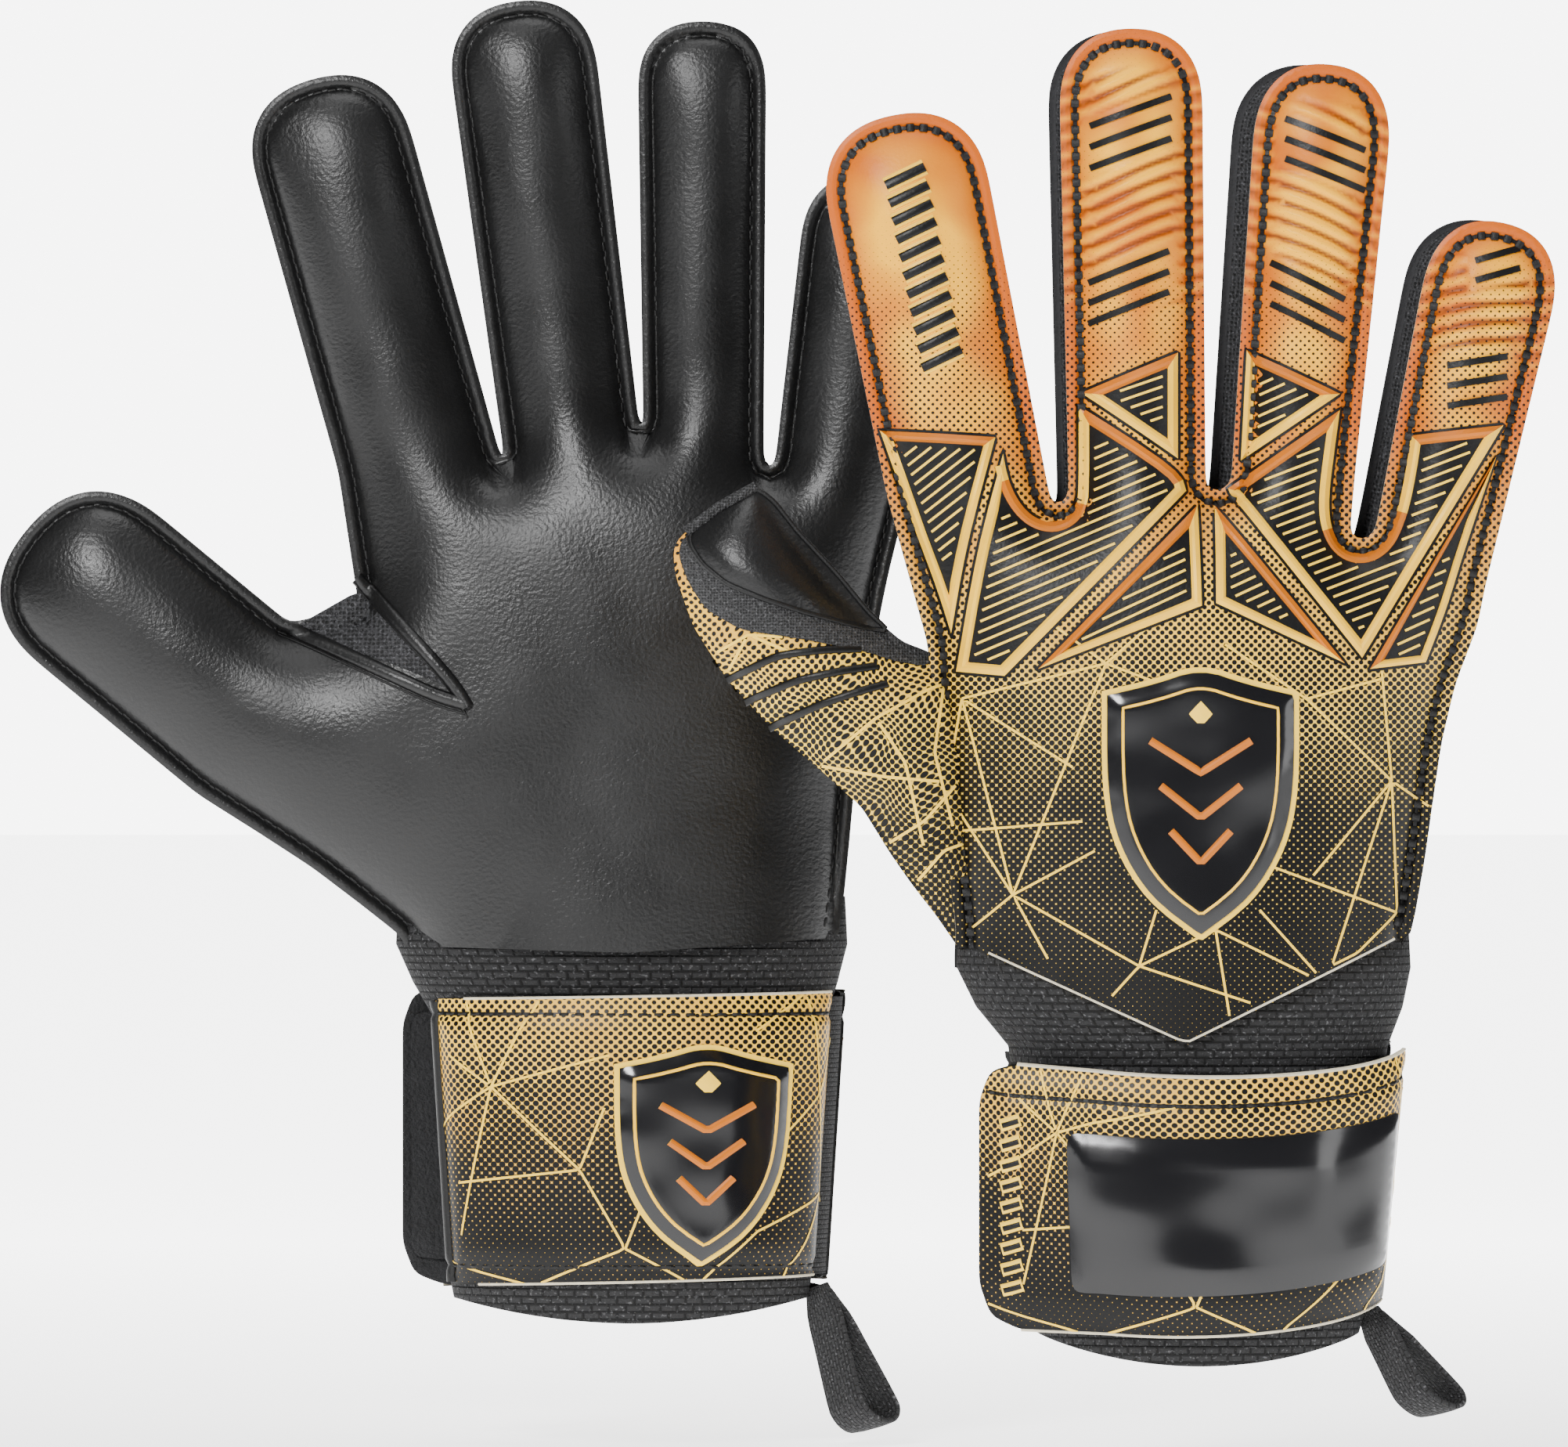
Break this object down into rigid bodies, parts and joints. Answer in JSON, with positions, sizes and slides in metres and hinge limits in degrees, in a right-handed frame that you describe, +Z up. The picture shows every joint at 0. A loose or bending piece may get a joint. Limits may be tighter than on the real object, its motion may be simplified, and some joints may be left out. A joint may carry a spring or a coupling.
{
  "type": "goalkeeper gloves",
  "caption": "Pair of padded goalkeeper gloves with latex foam palms, printed embossed backs, mesh gussets, elastic cuffs, wrap wrist straps and pull loops.",
  "frame": {"origin": "centre of the left glove's cuff opening", "axes": "+X across the pair from the left glove's thumb to the right glove's little finger, +Y through the gloves from the left palm's side to its back, +Z up along the fingers"},
  "size_m": [0.3236, 0.1464, 0.3024],
  "materials": {
    "latex": "satin foam latex",
    "printed_foam": "copper print, embossed",
    "printed_strap": "gold halftone print",
    "mesh": "black mesh",
    "knit": "black basket knit",
    "fleece": "fuzzy pile",
    "gloss": "smooth gloss",
    "webbing": "woven webbing",
    "lining": "soft knit"
  },
  "bodies": {
    "left_hand": {"left_palm_latex": "latex", "left_backhand_panel": "printed_foam", "left_outer_side_gusset": "mesh", "left_heel_gusset": "mesh", "left_thumb_crotch_gusset": "mesh", "left_wrist_knit": "knit", "left_elastic_cuff": "knit", "left_cuff_lining": "lining", "left_strap_base": "printed_strap", "left_loop_patch": "fleece"},
    "left_index": {"left_index_palm_latex": "latex", "left_index_back_foam": "printed_foam", "left_index_gusset": "mesh"},
    "left_middle": {"left_middle_palm_latex": "latex", "left_middle_back_foam": "printed_foam", "left_middle_gusset": "mesh"},
    "left_ring": {"left_ring_palm_latex": "latex", "left_ring_back_foam": "printed_foam", "left_ring_gusset": "mesh"},
    "left_little": {"left_little_palm_latex": "latex", "left_little_back_foam": "printed_foam", "left_little_gusset": "mesh"},
    "left_thumb": {"left_thumb_palm_latex": "latex", "left_thumb_back_foam": "printed_foam", "left_thumb_gusset": "mesh"},
    "left_strap": {"left_strap_flap": "printed_strap", "left_hook_patch": "fleece", "left_grip_panel": "gloss"},
    "left_pull_loop": {"left_pull_loop": "webbing"},
    "right_hand": {"right_palm_latex": "latex", "right_backhand_panel": "printed_foam", "right_outer_side_gusset": "mesh", "right_heel_gusset": "mesh", "right_thumb_crotch_gusset": "mesh", "right_wrist_knit": "knit", "right_elastic_cuff": "knit", "right_cuff_lining": "lining", "right_strap_base": "printed_strap", "right_loop_patch": "fleece"},
    "right_index": {"right_index_palm_latex": "latex", "right_index_back_foam": "printed_foam", "right_index_gusset": "mesh"},
    "right_middle": {"right_middle_palm_latex": "latex", "right_middle_back_foam": "printed_foam", "right_middle_gusset": "mesh"},
    "right_ring": {"right_ring_palm_latex": "latex", "right_ring_back_foam": "printed_foam", "right_ring_gusset": "mesh"},
    "right_little": {"right_little_palm_latex": "latex", "right_little_back_foam": "printed_foam", "right_little_gusset": "mesh"},
    "right_thumb": {"right_thumb_palm_latex": "latex", "right_thumb_back_foam": "printed_foam", "right_thumb_gusset": "mesh"},
    "right_strap": {"right_strap_flap": "printed_strap", "right_hook_patch": "fleece", "right_grip_panel": "gloss"},
    "right_pull_loop": {"right_pull_loop": "webbing"}
  },
  "joints": [
    {"name": "left_index_flex", "type": "hinge", "parent": "left_hand", "child": "left_index", "pos_m": [-0.04531, 0, 0.18398], "axis": [0.9635, 0, 0.2679], "range_deg": [-10, 60]},
    {"name": "left_middle_flex", "type": "hinge", "parent": "left_hand", "child": "left_middle", "pos_m": [-0.01246, 0, 0.18595], "axis": [0.992, 0, 0.126], "range_deg": [-10, 60]},
    {"name": "left_ring_flex", "type": "hinge", "parent": "left_hand", "child": "left_ring", "pos_m": [0.01537, 0, 0.1875], "axis": [1, 0, 0.0043], "range_deg": [-10, 60]},
    {"name": "left_little_flex", "type": "hinge", "parent": "left_hand", "child": "left_little", "pos_m": [0.04534, 0, 0.18255], "axis": [0.9925, 0, -0.1225], "range_deg": [-10, 60]},
    {"name": "left_thumb_flex", "type": "hinge", "parent": "left_hand", "child": "left_thumb", "pos_m": [-0.08313, 0, 0.13081], "axis": [0.6357, 0, 0.772], "range_deg": [-15, 40]},
    {"name": "left_strap_open", "type": "hinge", "parent": "left_hand", "child": "left_strap", "pos_m": [0.0448, 0, 0.03925], "axis": [0, 0, -1], "range_deg": [0, 150]},
    {"name": "left_loop_swing", "type": "hinge", "parent": "left_hand", "child": "left_pull_loop", "pos_m": [0.04105, 0, 0.00528], "axis": [1, 0, 0], "range_deg": [-35, 35]},
    {"name": "right_index_flex", "type": "hinge", "parent": "right_hand", "child": "right_index", "pos_m": [0.06933, -0.09, 0.17618], "axis": [-0.9808, 0, -0.1952], "range_deg": [-10, 60]},
    {"name": "right_middle_flex", "type": "hinge", "parent": "right_hand", "child": "right_middle", "pos_m": [0.10331, -0.09, 0.1779], "axis": [-0.9999, 0, -0.0155], "range_deg": [-10, 60]},
    {"name": "right_ring_flex", "type": "hinge", "parent": "right_hand", "child": "right_ring", "pos_m": [0.1343, -0.09, 0.17788], "axis": [-0.9965, 0, 0.0836], "range_deg": [-10, 60]},
    {"name": "right_little_flex", "type": "hinge", "parent": "right_hand", "child": "right_little", "pos_m": [0.16437, -0.09, 0.16816], "axis": [-0.9772, 0, 0.2121], "range_deg": [-10, 60]},
    {"name": "right_thumb_flex", "type": "hinge", "parent": "right_hand", "child": "right_thumb", "pos_m": [0.03781, -0.09, 0.14085], "axis": [0.2551, 0.9511, 0.1744], "range_deg": [-15, 20]},
    {"name": "right_strap_open", "type": "hinge", "parent": "right_hand", "child": "right_strap", "pos_m": [0.15841, -0.09, 0.0325], "axis": [0, 0, 1], "range_deg": [0, 150]},
    {"name": "right_loop_swing", "type": "hinge", "parent": "right_hand", "child": "right_pull_loop", "pos_m": [0.15325, -0.09, 0.00283], "axis": [1, 0, 0], "range_deg": [-35, 35]},
    {"name": "right_glove_lift", "type": "slide", "parent": "left_hand", "child": "right_hand", "axis": [0, 0, 1], "range_m": [0, 0.32]}
  ]
}
